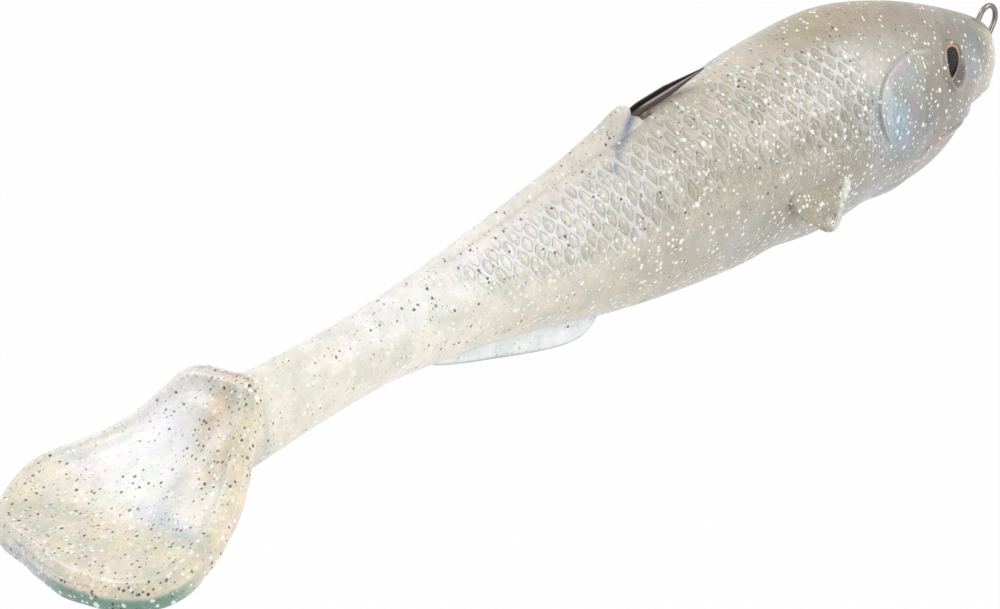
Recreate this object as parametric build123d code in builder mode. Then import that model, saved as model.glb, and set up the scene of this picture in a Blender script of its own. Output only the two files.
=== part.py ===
"""Soft pre-rigged swimbait: a moulded plastic fish on a wire and lead harness, with a paddle tail.

Frame: the origin is the middle of the line tie's loop, +X runs forward out of the nose, +Z is up,
and the mid-plane is y = 0. Millimetres.
"""
from build123d import *
import math
import os

os.makedirs("parts", exist_ok=True)

# Body moulding
nose_x = 1.5              # nose tip, ahead of the middle of the line tie
body_length = 174.5       # nose tip to the foot of the tail
body_height = 38.0        # back to belly at the shoulder
body_width = 28.0         # across the shoulders
section_power = 1.7       # 2 is an ellipse, less has a sharper back and belly
section_points = 12
HEAD = slice(0, 10)       # the stations that the gill covers and the mouth follow
JAWS = slice(2, 10)

# Share of the length from the nose, then the back and the belly as shares of the
# height, counted from the line tie, and the half width as a share of the width
STATIONS = [
    (0.000, -0.072, -0.295, 0.030),
    (0.004, -0.055, -0.325, 0.062),
    (0.014, -0.014, -0.362, 0.110),
    (0.032, 0.038, -0.386, 0.172),
    (0.064, 0.104, -0.456, 0.246),
    (0.112, 0.190, -0.572, 0.334),
    (0.180, 0.288, -0.616, 0.422),
    (0.270, 0.360, -0.630, 0.486),
    (0.360, 0.322, -0.630, 0.496),
    (0.450, 0.268, -0.624, 0.452),
    (0.540, 0.190, -0.600, 0.384),
    (0.630, 0.098, -0.538, 0.312),
    (0.720, -0.010, -0.490, 0.246),
    (0.810, -0.105, -0.472, 0.196),
    (0.900, -0.169, -0.500, 0.168),
    (1.000, -0.199, -0.580, 0.156),
    (1.130, -0.203, -0.500, 0.070),
]

# The stretches that bend, between the stiffer ones
bend_front = 0.675        # share of the length where the sway starts
bend_length = 20.0
neck_front = 0.945        # share of the length where the tail's neck starts

# Paddle
paddle_rise = 1.8         # its top over the back of the neck
paddle_slope = 29.0       # its chord under the horizontal, degrees
paddle_length = 38.2
paddle_cup = 3.6          # how far its middle lies under the chord
paddle_thickness = 4.0
paddle_width = 37.5
paddle_crown = 15.6       # width near the top
paddle_edge = 1.5

# Line tie and harness wire
loop_radius = 2.4
loop_lean = 35.0          # from the vertical towards the nose, degrees
harness_wire_d = 0.95
loop_leg = 2.2
harness_bend = 3.0
front_bend = 1.0
harness_depth = 7.0       # how far the legs reach into the ballast
harness_drop = 2.0        # from the front bend down to the ballast
loop_rounding = 0.01      # kept between the loop's two bends, so that they don't quite meet

# Lead ballast
ballast_x = -47.0
ballast_z = -11.0
ballast_length = 38.0
ballast_radius = 6.2
ballast_round = 4.0

# Hook
hook_wire_d = 1.9
shank_rise = 2.6          # over the middle of the ballast
shank_front_x = -38.0
bend_radius = 8.8
bend_x = -87.6
point_rise = 9.0          # degrees
point_leg = 5.5
point_length = 8.8
point_tip_r = 0.12
hook_eye_r = 2.1
slot_clearance = 0.5
slot_length = 7.0
slot_depth = 5.2          # under the point leg

# Eyes
eye_x = -20.2
eye_z = -0.3
eye_diameter = 6.6
pupil_diameter = 4.6
socket_depth = 1.5
foil_thickness = 0.5
pupil_thickness = 0.3
lens_side = 0.4
lens_rise = 0.6
eye_yaw = 13.0            # the cheeks taper towards the nose, degrees
eye_pitch = 12.0          # and lean in towards the top of the head, degrees

# Gill covers and mouth
gill_relief = 0.5
# Share of the length from the nose, then share of the height over the line tie
GILL_ARC = [(0.169, 0.095), (0.206, 0.132), (0.241, 0.118), (0.264, 0.071), (0.276, -0.011),
            (0.270, -0.116), (0.246, -0.211), (0.209, -0.284), (0.172, -0.316)]
mouth_gap = 0.8
mouth_depth = 1.2
mouth_front = (0.034, -0.479)
mouth_rear = (0.152, -0.395)

# Fins
dorsal_thickness = 3.0
# Share of the length from the nose, then how far the fin stands out of the back
DORSAL_EDGE = [(0.526, -0.4), (0.531, 2.1), (0.545, 3.6), (0.573, 2.7), (0.622, 1.3), (0.673, 0.9),
               (0.725, 0.7), (0.779, -0.4)]
anal_thickness = 1.6
ANAL_EDGE = [(0.572, -0.4), (0.585, 3.0), (0.607, 4.3), (0.655, 4.2), (0.708, 3.0), (0.756, 1.6),
             (0.788, -0.4)]
fin_root = 4.0            # how deep the fins' roots are cut from, before they are fitted to the body
pectoral_x = -54.5        # front end of the root
pectoral_z = -10.5
pectoral_root = 13.5
pectoral_drop = 6.4
pectoral_thickness = 1.7
pectoral_lean = 16.0      # the blades spread outwards going down, degrees
# Share of the root's length from its front end, then share of the drop
PECTORAL_EDGE = [(0.02, 0.35), (0.08, 0.72), (0.20, 0.96), (0.40, 1.0), (0.60, 0.84), (0.84, 0.55),
                 (0.98, 0.25)]
pectoral_web = 2.0        # the thin stretch at the root, where they flap


def section(share, top, bottom, half_width, grow=0.0):
    """One closed cross-section of the fish, with each side moved outwards by grow."""
    middle = body_height * (top + bottom) / 2
    half_height = body_height * (top - bottom) / 2 + grow
    width = body_width * half_width + grow
    points = []
    for step in range(section_points):
        angle = 2 * math.pi * step / section_points
        across = math.cos(angle)
        up = math.sin(angle)
        points.append((
            width * math.copysign(abs(across) ** (2 / section_power), across),
            middle + half_height * math.copysign(abs(up) ** (2 / section_power), up),
        ))
    with BuildSketch(Plane.YZ.offset(x_at(share))) as sketch:
        with BuildLine():
            Spline(*points, periodic=True)
        make_face()
    return sketch.sketch


def x_at(share):
    """Where a share of the length from the nose lies."""
    return nose_x - body_length * share


def on_head(share, height):
    """A place in the side view, from its shares of the length and the height."""
    return x_at(share), body_height * height


def shape_at(x):
    """The back's height, the belly's height and the half width of the fish at one place."""
    share = (nose_x - x) / body_length
    for front, rear in zip(STATIONS, STATIONS[1:]):
        if front[0] <= share <= rear[0]:
            blend = (share - front[0]) / (rear[0] - front[0])
            top, bottom, half_width = (a + (b - a) * blend for a, b in zip(front[1:], rear[1:]))
    return body_height * top, body_height * bottom, body_width * half_width


def side_at(x, z):
    """How far the side of the fish is from the mid-plane."""
    top, bottom, half_width = shape_at(x)
    height = abs(2 * z - top - bottom) / (top - bottom)
    return half_width * (1 - height ** section_power) ** (1 / section_power)


def finish(builder, name):
    """Label a finished piece and write it."""
    builder.part.label = name
    export_step(builder.part, f"parts/{name}.step")


# The whole fish, which the mouldings are cut from --------------------------------

with BuildPart() as fish:
    loft([section(*station) for station in STATIONS])

bend_front_x = x_at(bend_front)
bend_rear_x = bend_front_x - bend_length
neck_front_x = x_at(neck_front)

# Hook, harness and ballast --------------------------------------------------------

shank_z = ballast_z + shank_rise
bend_z = shank_z + bend_radius
rise = math.radians(point_rise)
point_root = Vector(bend_x - bend_radius * math.sin(rise), 0, bend_z + bend_radius * math.cos(rise))
point_way = Vector(math.cos(rise), 0, math.sin(rise))
point_taper = math.degrees(math.atan((hook_wire_d / 2 - point_tip_r) / point_length))

with BuildPart() as hook:
    with BuildLine() as hook_wire:
        Line((shank_front_x, 0, shank_z), (bend_x, 0, shank_z))
        ThreePointArc((bend_x, 0, shank_z), (bend_x - bend_radius, 0, bend_z), point_root)
        Line(point_root, point_root + point_way * point_leg)
    with BuildSketch(Plane((shank_front_x, 0, shank_z), z_dir=(-1, 0, 0))):
        Circle(hook_wire_d / 2)
    sweep(path=hook_wire.line)
    with BuildSketch(Plane(point_root + point_way * point_leg, z_dir=point_way)):
        Circle(hook_wire_d / 2)
    extrude(amount=point_length, taper=point_taper)
    with Locations((shank_front_x + hook_eye_r, 0, shank_z)):
        Torus(hook_eye_r, hook_wire_d / 2)
finish(hook, "hook")

lean = math.radians(loop_lean)
loop_up = Vector(math.sin(lean), 0, math.cos(lean))
loop_across = Vector(math.cos(lean), 0, -math.sin(lean))
ballast_front_x = ballast_x + ballast_length / 2
harness_rear_x = ballast_front_x - harness_depth
harness_step = harness_bend + harness_wire_d
loop_bend = loop_radius - loop_rounding

with BuildPart() as harness_wire:
    with BuildLine() as harness_path:
        FilletPolyline(
            (harness_rear_x, 0, ballast_z + harness_step),
            loop_across * -loop_radius - loop_up * harness_bend * 1.6,
            (loop_up - loop_across) * loop_radius,
            (loop_up + loop_across) * loop_radius,
            loop_across * loop_radius - loop_up * loop_leg,
            (-harness_bend * 2, 0, ballast_z + harness_drop),
            (harness_rear_x, 0, ballast_z),
            radius=[harness_bend, loop_bend, loop_bend, front_bend, harness_bend],
        )
    with BuildSketch(Plane(harness_path.line @ 0, z_dir=harness_path.line % 0)):
        Circle(harness_wire_d / 2)
    sweep(path=harness_path.line)
finish(harness_wire, "harness_wire")

with BuildPart() as ballast_form:
    with BuildSketch(Plane.YZ.offset(ballast_front_x - ballast_length)):
        with Locations((0, ballast_z)):
            Circle(ballast_radius)
    extrude(amount=ballast_length)
    fillet(ballast_form.edges().filter_by(GeomType.CIRCLE), ballast_round)

with BuildPart() as ballast_weight:
    add(ballast_form.part)
    add(hook.part, mode=Mode.SUBTRACT)
    add(harness_wire.part, mode=Mode.SUBTRACT)
finish(ballast_weight, "ballast_weight")

# Eyes -------------------------------------------------------------------------------

yaw = math.radians(eye_yaw)
pitch = math.radians(eye_pitch)
sockets = []
for side, place in ((-1, "right"), (1, "left")):
    out = Vector(math.sin(yaw) * math.cos(pitch), side * math.cos(yaw) * math.cos(pitch), math.sin(pitch))
    flank = Vector(eye_x, side * side_at(eye_x, eye_z), eye_z)
    floor = Plane(flank - out * socket_depth, z_dir=out)
    with BuildPart() as eye_foil:
        with BuildSketch(floor):
            Circle(eye_diameter / 2)
        extrude(amount=foil_thickness)
    finish(eye_foil, f"eye_foil_{place}")
    with BuildPart() as eye_pupil:
        with BuildSketch(floor.offset(foil_thickness)):
            Circle(pupil_diameter / 2)
        extrude(amount=pupil_thickness)
    finish(eye_pupil, f"eye_pupil_{place}")
    with BuildPart() as eye_lens:
        with BuildSketch(floor.offset(foil_thickness)):
            Circle(eye_diameter / 2)
        extrude(amount=lens_side + lens_rise)
        fillet(eye_lens.faces().sort_by(Axis(floor.origin, out))[-1].edges(), lens_rise)
        add(eye_pupil.part, mode=Mode.SUBTRACT)
    finish(eye_lens, f"eye_lens_{place}")
    with BuildPart() as socket:
        with BuildSketch(floor):
            Circle(eye_diameter / 2)
        extrude(amount=3 * socket_depth)
    sockets.append(socket.part)

# Trunk ------------------------------------------------------------------------------

with BuildPart() as gill_covers:
    loft([section(*station, grow=gill_relief) for station in STATIONS[HEAD]])
    with BuildSketch(Plane.XZ):
        with BuildLine():
            gill_edge = Spline(*[on_head(*place) for place in GILL_ARC])
            Line(gill_edge @ 1, gill_edge @ 0)
        make_face()
    extrude(amount=body_width, both=True, mode=Mode.INTERSECT)

with BuildPart() as mouth_slit:
    with BuildSketch(Plane.XZ):
        with BuildLine():
            mouth_line = Line(on_head(*mouth_front), on_head(*mouth_rear))
        trace(mouth_line, line_width=mouth_gap)
    extrude(amount=body_width, both=True)
    loft([section(*station, grow=-mouth_depth) for station in STATIONS[JAWS]], mode=Mode.SUBTRACT)

with BuildPart() as hook_slot:
    with BuildSketch(Plane.XY.offset(point_root.Z - slot_depth)):
        with Locations((point_root.X + slot_clearance, 0)):
            SlotOverall(slot_length, hook_wire_d + 2 * slot_clearance)
    extrude(amount=2 * slot_depth)

with BuildPart() as trunk:
    add(fish.part)
    split(bisect_by=Plane.YZ.offset(bend_front_x), keep=Keep.TOP)
    add(gill_covers.part)
    for hollow in (mouth_slit.part, hook_slot.part, *sockets, ballast_form.part, hook.part, harness_wire.part):
        add(hollow, mode=Mode.SUBTRACT)
finish(trunk, "trunk")

# Fins on the mid-plane ----------------------------------------------------------------

for name, rows, thickness, outwards, line in (
    ("dorsal_fin", DORSAL_EDGE, dorsal_thickness, 1, 0),
    ("anal_fin", ANAL_EDGE, anal_thickness, -1, 1),
):
    edge = [(x_at(share), shape_at(x_at(share))[line] + outwards * stand) for share, stand in rows]
    root_step = Vector(0, -outwards * fin_root)
    with BuildPart() as fin:
        with BuildSketch(Plane.XZ):
            with BuildLine():
                fin_line = Spline(*edge)
                Polyline(fin_line @ 1, fin_line @ 1 + root_step, fin_line @ 0 + root_step, fin_line @ 0)
            make_face()
        extrude(amount=thickness / 2, both=True)
        add([fish.part, hook_slot.part, hook.part], mode=Mode.SUBTRACT)
    finish(fin, name)

# Rear half: the swaying stretch, the tail stock, the neck and the paddle -----------------

with BuildPart() as body_bend:
    add(fish.part)
    split(bisect_by=Plane.YZ.offset(bend_front_x), keep=Keep.BOTTOM)
    split(bisect_by=Plane.YZ.offset(bend_rear_x), keep=Keep.TOP)
finish(body_bend, "body_bend")

with BuildPart() as tail_stock:
    add(fish.part)
    split(bisect_by=Plane.YZ.offset(bend_rear_x), keep=Keep.BOTTOM)
    split(bisect_by=Plane.YZ.offset(neck_front_x), keep=Keep.TOP)
finish(tail_stock, "tail_stock")

foot_x = x_at(1.0)
slope = math.radians(paddle_slope)
chord_way = Vector(-math.cos(slope), 0, -math.sin(slope))
rear_way = Vector(-math.sin(slope), 0, math.cos(slope))
paddle_top = Vector(foot_x, 0, shape_at(foot_x)[0] + paddle_rise)
cup_radius = (paddle_length ** 2 / 4 + paddle_cup ** 2) / (2 * paddle_cup)
cup_middle = paddle_top + chord_way * paddle_length / 2 + rear_way * (cup_radius - paddle_cup)
crown = paddle_crown / 2
wide = paddle_width / 2 - crown
PADDLE_EDGE = [
    (0.02, 0.50 * crown), (0.10, crown), (0.27, crown + 0.40 * wide), (0.45, crown + 0.70 * wide),
    (0.61, crown + 0.92 * wide), (0.74, crown + wide), (0.87, crown + 0.76 * wide),
    (0.96, crown + 0.26 * wide),
]

with BuildPart() as tail_neck:
    add(fish.part)
    split(bisect_by=Plane.YZ.offset(neck_front_x), keep=Keep.BOTTOM)
    with BuildSketch(Plane.XZ):
        with Locations((cup_middle.X, cup_middle.Z)):
            Circle(cup_radius + paddle_thickness / 2)
    extrude(amount=paddle_width, both=True, mode=Mode.SUBTRACT)
finish(tail_neck, "tail_neck")

with BuildPart() as tail_paddle:
    with BuildSketch(Plane.XZ):
        with Locations((cup_middle.X, cup_middle.Z)):
            Circle(cup_radius + paddle_thickness / 2)
            Circle(cup_radius - paddle_thickness / 2, mode=Mode.SUBTRACT)
    extrude(amount=paddle_width, both=True)
    with BuildSketch(Plane(paddle_top, x_dir=chord_way, z_dir=rear_way)):
        with BuildLine():
            right_edge = [(paddle_length * along, across) for along, across in PADDLE_EDGE]
            left_edge = [(along, -across) for along, across in reversed(right_edge)]
            Spline((0, 0), *right_edge, (paddle_length, 0), *left_edge, periodic=True)
        make_face()
    extrude(amount=cup_radius / 2, both=True, mode=Mode.INTERSECT)
    fillet(tail_paddle.edges().filter_by(lambda edge: edge.length > paddle_length), paddle_edge)
finish(tail_paddle, "tail_paddle")

# Pectoral fins and the thin webs that they flap on ----------------------------------------

spread = math.radians(pectoral_lean)
root_middle_x = pectoral_x - pectoral_root / 2
for side, place in ((-1, "right"), (1, "left")):
    down = Vector(0, side * math.sin(spread), -math.cos(spread))
    root = Vector(pectoral_x, side * side_at(root_middle_x, pectoral_z), pectoral_z)
    blade_plane = Plane(root, x_dir=(-1, 0, 0), z_dir=Vector(-1, 0, 0).cross(down))
    with BuildPart() as blade:
        with BuildSketch(blade_plane):
            with BuildLine():
                edge = [(pectoral_root * along, pectoral_drop * drop) for along, drop in PECTORAL_EDGE]
                Spline((0, 0), *edge, (pectoral_root, 0))
                Polyline((pectoral_root, 0), (pectoral_root, -fin_root), (0, -fin_root), (0, 0))
            make_face()
        extrude(amount=pectoral_thickness / 2, both=True)
        add(fish.part, mode=Mode.SUBTRACT)
    hinge_plane = Plane(root + down * pectoral_web, z_dir=down)
    with BuildPart() as pectoral_fin:
        add(blade.part)
        split(bisect_by=hinge_plane, keep=Keep.TOP)
    finish(pectoral_fin, f"pectoral_fin_{place}")
    with BuildPart() as pectoral_root_web:
        add(blade.part)
        split(bisect_by=hinge_plane, keep=Keep.BOTTOM)
    finish(pectoral_root_web, f"pectoral_web_{place}")
    print(f"{place} pectoral hinge: {root + down * pectoral_web / 2}")

print(f"sway pivot x {(bend_front_x + bend_rear_x) / 2:.2f}, neck front x {neck_front_x:.2f}, foot x {foot_x:.2f}")
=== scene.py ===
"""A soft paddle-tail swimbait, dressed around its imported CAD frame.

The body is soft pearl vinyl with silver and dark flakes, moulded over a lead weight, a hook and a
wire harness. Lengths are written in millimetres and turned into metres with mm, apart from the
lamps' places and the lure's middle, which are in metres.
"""
import math

import bmesh
import bpy
import numpy as np
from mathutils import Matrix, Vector


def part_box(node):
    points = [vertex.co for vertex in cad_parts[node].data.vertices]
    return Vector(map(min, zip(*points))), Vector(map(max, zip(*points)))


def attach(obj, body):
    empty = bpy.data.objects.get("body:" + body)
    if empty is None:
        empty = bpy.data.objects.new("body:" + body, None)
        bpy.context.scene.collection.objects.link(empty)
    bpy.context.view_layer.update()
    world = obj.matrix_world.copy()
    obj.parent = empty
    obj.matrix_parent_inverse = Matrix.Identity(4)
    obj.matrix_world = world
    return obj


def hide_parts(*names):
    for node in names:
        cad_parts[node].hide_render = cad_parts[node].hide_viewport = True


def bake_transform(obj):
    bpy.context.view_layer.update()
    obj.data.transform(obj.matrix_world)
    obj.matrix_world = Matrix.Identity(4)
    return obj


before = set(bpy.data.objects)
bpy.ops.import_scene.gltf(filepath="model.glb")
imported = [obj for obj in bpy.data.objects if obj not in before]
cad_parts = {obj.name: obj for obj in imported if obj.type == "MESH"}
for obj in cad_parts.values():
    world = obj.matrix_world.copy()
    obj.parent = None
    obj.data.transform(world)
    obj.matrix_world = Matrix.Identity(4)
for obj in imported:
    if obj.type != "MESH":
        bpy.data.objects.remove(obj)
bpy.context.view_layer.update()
mm = 0.001

# The studio: a long lens behind and above the tail, a white room with one soft light high on the
# left, a weaker one low on the right and one in front of the nose, and a white floor well under
# the hanging lure.
sensor_width = 36
lens_length = 111.7
camera_place = (-418.93, -287.70, 179.08)
camera_dip, camera_turn = 24.91, -46.10
lure_middle = Vector((-0.09, 0, -0.005))
room_light = 0.55         # the part of white with which the room lights the lure
floor_drop = 120
floor_shadow = 0.05       # the part of the floor's own shading that shows

camera = bpy.data.objects.new("camera", bpy.data.cameras.new("camera"))
bpy.context.collection.objects.link(camera)
camera.data.sensor_width = sensor_width
camera.data.lens = lens_length
camera.location = Vector(camera_place) * mm
camera.rotation_euler = (math.radians(90 - camera_dip), 0, math.radians(camera_turn))
bpy.context.scene.camera = camera
bpy.context.scene.view_settings.view_transform = "Standard"


def softbox(name, place, size, watts):
    """A square area light that looks at the middle of the lure."""
    light = bpy.data.objects.new(name, bpy.data.lights.new(name, "AREA"))
    bpy.context.collection.objects.link(light)
    light.location = place
    light.rotation_euler = (Vector(place) - lure_middle).to_track_quat("Z", "Y").to_euler()
    light.data.size = size
    light.data.energy = watts


softbox("key_light", (-0.35, 0.55, 0.75), 0.60, 3.4)
softbox("side_light", (-0.25, -0.80, 0.25), 0.50, 1.6)
softbox("front_light", (0.52, -0.50, 0.42), 0.45, 2.1)


def math_node(tree, operation, *values):
    """A math node whose inputs are numbers or other nodes' outputs."""
    node = tree.nodes.new("ShaderNodeMath")
    node.operation = operation
    for index, value in enumerate(values):
        if isinstance(value, (int, float)):
            node.inputs[index].default_value = value
        else:
            tree.links.new(value, node.inputs[index])
    return node.outputs[0]


def sees_background(tree):
    """1 for the rays that show the background, straight, mirrored or through the eyes' resin."""
    rays = tree.nodes.new("ShaderNodeLightPath").outputs
    mirrored = math_node(tree, "MAXIMUM", rays["Is Camera Ray"], rays["Is Glossy Ray"])
    return math_node(tree, "MAXIMUM", mirrored, rays["Is Transmission Ray"])


world = bpy.data.worlds.new("white_room")
bpy.context.scene.world = world
world.use_nodes = True
room = world.node_tree
room.nodes["Background"].inputs["Color"].default_value = (1, 1, 1, 1)
shine = math_node(room, "MULTIPLY_ADD", sees_background(room), 1 - room_light, room_light)
room.links.new(shine, room.nodes["Background"].inputs["Strength"])

floor_mesh = bmesh.new()
bmesh.ops.create_grid(floor_mesh, x_segments=1, y_segments=1, size=3)
bmesh.ops.translate(floor_mesh, verts=floor_mesh.verts, vec=(0, 0, -floor_drop * mm))
floor = bpy.data.objects.new("floor", bpy.data.meshes.new("floor"))
floor_mesh.to_mesh(floor.data)
floor_mesh.free()
bpy.context.collection.objects.link(floor)
white_floor = bpy.data.materials.new("white_floor")
white_floor.use_nodes = True
sheet = white_floor.node_tree
sheet.nodes.remove(sheet.nodes["Principled BSDF"])
matt = sheet.nodes.new("ShaderNodeBsdfDiffuse")
matt.inputs["Color"].default_value = (0.9, 0.9, 0.9, 1)
glow = sheet.nodes.new("ShaderNodeEmission")
blend_floor = sheet.nodes.new("ShaderNodeMixShader")
shown_white = math_node(sheet, "MULTIPLY", sees_background(sheet), 1 - floor_shadow)
sheet.links.new(shown_white, blend_floor.inputs[0])
sheet.links.new(matt.outputs[0], blend_floor.inputs[1])
sheet.links.new(glow.outputs[0], blend_floor.inputs[2])
sheet.links.new(blend_floor.outputs[0], sheet.nodes["Material Output"].inputs["Surface"])
floor.data.materials.append(white_floor)

# The vinyl. It is poured clear with pearl powder, which tints it, and with square-cut flakes at all
# depths: silver ones, whose glints are painted into their colour, dim ones that lie deeper, and black ones.


def new_group(name, inputs, outputs):
    """An empty shader node group with float, vector or colour sockets, and its ends."""
    group = bpy.data.node_groups.new(name, "ShaderNodeTree")
    kinds = {"float": "NodeSocketFloat", "vector": "NodeSocketVector", "color": "NodeSocketColor"}
    for socket, kind in inputs:
        group.interface.new_socket(socket, in_out="INPUT", socket_type=kinds[kind])
    for socket, kind in outputs:
        group.interface.new_socket(socket, in_out="OUTPUT", socket_type=kinds[kind])
    return group, group.nodes.new("NodeGroupInput"), group.nodes.new("NodeGroupOutput")


def vector_node(tree, operation, *values):
    """A vector math node whose inputs are triples, numbers or other nodes' outputs."""
    node = tree.nodes.new("ShaderNodeVectorMath")
    node.operation = operation
    for index, value in enumerate(values):
        socket = node.inputs["Scale"] if operation == "SCALE" and index == 1 else node.inputs[index]
        if isinstance(value, (tuple, int, float)):
            socket.default_value = value
        else:
            tree.links.new(value, socket)
    return node.outputs["Value"] if operation in ("LENGTH", "DISTANCE") else node.outputs[0]


def step_node(tree, value, low, high):
    """0 under low and 1 over high, with a smooth step between them."""
    node = tree.nodes.new("ShaderNodeMapRange")
    node.interpolation_type = "SMOOTHSTEP"
    tree.links.new(value, node.inputs["Value"])
    node.inputs["From Min"].default_value = low
    node.inputs["From Max"].default_value = high
    return node.outputs["Result"]


def mix_node(tree, share, low, high):
    """A colour mix whose inputs are triples, numbers or other nodes' outputs."""
    node = tree.nodes.new("ShaderNodeMix")
    node.data_type = "RGBA"
    for socket, value in ((node.inputs[0], share), (node.inputs[6], low), (node.inputs[7], high)):
        if isinstance(value, tuple):
            socket.default_value = (*value, 1)
        elif isinstance(value, (int, float)):
            socket.default_value = value
        else:
            tree.links.new(value, socket)
    return node.outputs[2]


def use_group(tree, group, **values):
    """A group in a material or another group, with its inputs given by name."""
    node = tree.nodes.new("ShaderNodeGroup")
    node.node_tree = group
    for name, value in values.items():
        if isinstance(value, (int, float)):
            node.inputs[name].default_value = value
        else:
            tree.links.new(value, node.inputs[name])
    return node.outputs


def noise(tree, place, **settings):
    """A noise texture read at a place in metres."""
    node = tree.nodes.new("ShaderNodeTexNoise")
    tree.links.new(place, node.inputs["Vector"])
    for name, value in settings.items():
        node.inputs[name].default_value = value
    return node.outputs


def centred(tree, colour, amount):
    """A noise's colour as an offset of up to half the amount either way."""
    return vector_node(tree, "SCALE", vector_node(tree, "SUBTRACT", colour, (0.5, 0.5, 0.5)), amount)


def painted(tree, name):
    """What is stored under a name at each vertex."""
    node = tree.nodes.new("ShaderNodeAttribute")
    node.attribute_name = name
    return node.outputs


# One size of flake: round spots, each in a cell of its own, of which a share hold one
flakes, flakes_in, flakes_out = new_group(
    "flakes",
    [("Vector", "vector"), ("Pitch", "float"), ("Radius", "float"), ("Share", "float"), ("Soft", "float")],
    [("Mask", "float"), ("Random", "float")],
)
cells = flakes.nodes.new("ShaderNodeTexVoronoi")
cells.inputs["Randomness"].default_value = 1
flakes.links.new(flakes_in.outputs["Vector"], cells.inputs["Vector"])
flakes.links.new(math_node(flakes, "DIVIDE", 1.0, flakes_in.outputs["Pitch"]), cells.inputs["Scale"])
dice = flakes.nodes.new("ShaderNodeSeparateColor")
flakes.links.new(cells.outputs["Color"], dice.inputs["Color"])
reach = math_node(flakes, "MULTIPLY", cells.outputs["Distance"], flakes_in.outputs["Pitch"])
size = math_node(flakes, "MULTIPLY", flakes_in.outputs["Radius"],
                 math_node(flakes, "MULTIPLY_ADD", dice.outputs["Green"], 0.7, 0.6))
edge = math_node(flakes, "DIVIDE", math_node(flakes, "SUBTRACT", size, reach),
                 math_node(flakes, "MULTIPLY", size, flakes_in.outputs["Soft"]))
spot = flakes.nodes.new("ShaderNodeClamp")
flakes.links.new(edge, spot.inputs["Value"])
kept = math_node(flakes, "LESS_THAN", dice.outputs["Red"], flakes_in.outputs["Share"])
flakes.links.new(math_node(flakes, "MULTIPLY", spot.outputs[0], kept), flakes_out.inputs["Mask"])
flakes.links.new(dice.outputs["Blue"], flakes_out.inputs["Random"])

# Pearl powder hangs in clouds. They shift the hue where the vinyl is pearly, and the brightness
# everywhere.
pearl, pearl_in, pearl_out = new_group(
    "pearl", [("Vector", "vector"), ("Color", "color"), ("Pearly", "float")],
    [("Color", "color"), ("Cloud", "float")])
cloud = noise(pearl, pearl_in.outputs["Vector"], Scale=260, Detail=5, Roughness=0.66)
strength = math_node(pearl, "MULTIPLY_ADD", pearl_in.outputs["Pearly"], 1.05, 0.15)
hue = vector_node(pearl, "ADD", centred(pearl, cloud["Color"], strength), (1.0, 1.0, 1.0))
colour = vector_node(pearl, "MULTIPLY", pearl_in.outputs["Color"], hue)
brightness = math_node(pearl, "MULTIPLY_ADD", cloud["Fac"], 0.60, 0.72)
pearl.links.new(vector_node(pearl, "SCALE", colour, brightness), pearl_out.inputs["Color"])
pearl.links.new(cloud["Fac"], pearl_out.inputs["Cloud"])

# Crinkles where the mould was rough: a bump, with painted highlights on their folds and painted shade in the
# hollows between
crinkles, crinkles_in, crinkles_out = new_group(
    "crinkles", [("Vector", "vector"), ("Color", "color"), ("Rough", "float")],
    [("Color", "color"), ("Height", "float")])
drawn_out = vector_node(crinkles, "MULTIPLY", crinkles_in.outputs["Vector"], (1.5, 1.0, 0.8))
crinkle = noise(crinkles, drawn_out, Scale=1000, Detail=2, Distortion=0.6)["Fac"]
rough = crinkles_in.outputs["Rough"]
folds = math_node(crinkles, "ABSOLUTE", math_node(crinkles, "SUBTRACT", crinkle, 0.5))
colour = crinkles_in.outputs["Color"]
for seen, strength, shade in (
    (step_node(crinkles, folds, 0.045, 0.0), 0.80, (0.88, 0.87, 0.84)),
    (step_node(crinkles, crinkle, 0.57, 0.70), 0.70, (0.30, 0.28, 0.23)),
):
    share = math_node(crinkles, "MULTIPLY", seen, math_node(crinkles, "MULTIPLY", rough, strength))
    colour = mix_node(crinkles, share, colour, shade)
depth = math_node(crinkles, "MULTIPLY_ADD", rough, 0.16 * mm, 0.02 * mm)
crinkles.links.new(colour, crinkles_out.inputs["Color"])
crinkles.links.new(math_node(crinkles, "MULTIPLY", crinkle, depth), crinkles_out.inputs["Height"])

# All the flakes: a fine grain of dull ones, then each size in turn, with ragged rims. A row gives
# the kind, how far apart they lie, their radius, the share of places that hold one, how soft the
# rim is, how strongly they show, their two shades, and how far their cells are shifted in metres.
cream, white = (0.92, 0.89, 0.79), (1.0, 1.0, 1.0)
FLAKE_SIZES = [
    # the silver flakes' cream-to-white spots are painted glints
    ("silver", 0.62, 0.15, 0.50, 0.60, 0.75, cream, white, 0.0),
    ("silver", 0.95, 0.30, 0.50, 0.28, 1.00, cream, white, 0.013),
    ("silver", 1.60, 0.42, 0.30, 0.25, 1.00, cream, white, 0.031),
    ("dim", 0.80, 0.16, 0.50, 0.50, 0.80, (0.16, 0.155, 0.14), (0.38, 0.37, 0.33), 0.007),
    ("black", 0.88, 0.25, 0.085, 0.35, 0.95, (0.01, 0.01, 0.015), (0.24, 0.23, 0.23), 0.017),
]
flaked, flaked_in, flaked_out = new_group(
    "flaked", [("Vector", "vector"), ("Color", "color"), ("Silver", "float"), ("Dark", "float")],
    [("Color", "color")])
ragged = noise(flaked, flaked_in.outputs["Vector"], Scale=2600, Detail=1)["Color"]
place = vector_node(flaked, "ADD", flaked_in.outputs["Vector"], centred(flaked, ragged, 0.32 * mm))
colour = flaked_in.outputs["Color"]
for pitch, radius, strength in ((0.60, 0.30, 0.50), (1.10, 0.34, 0.55)):
    grain = use_group(flaked, flakes, Vector=place, Pitch=pitch * mm, Radius=radius * mm,
                      Share=0.8, Soft=1.0)
    tone = math_node(flaked, "SUBTRACT", grain["Random"], 0.5)
    swing = math_node(flaked, "MULTIPLY", grain["Mask"], tone)
    colour = vector_node(flaked, "SCALE", colour, math_node(flaked, "MULTIPLY_ADD", swing, strength, 1.0))
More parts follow.
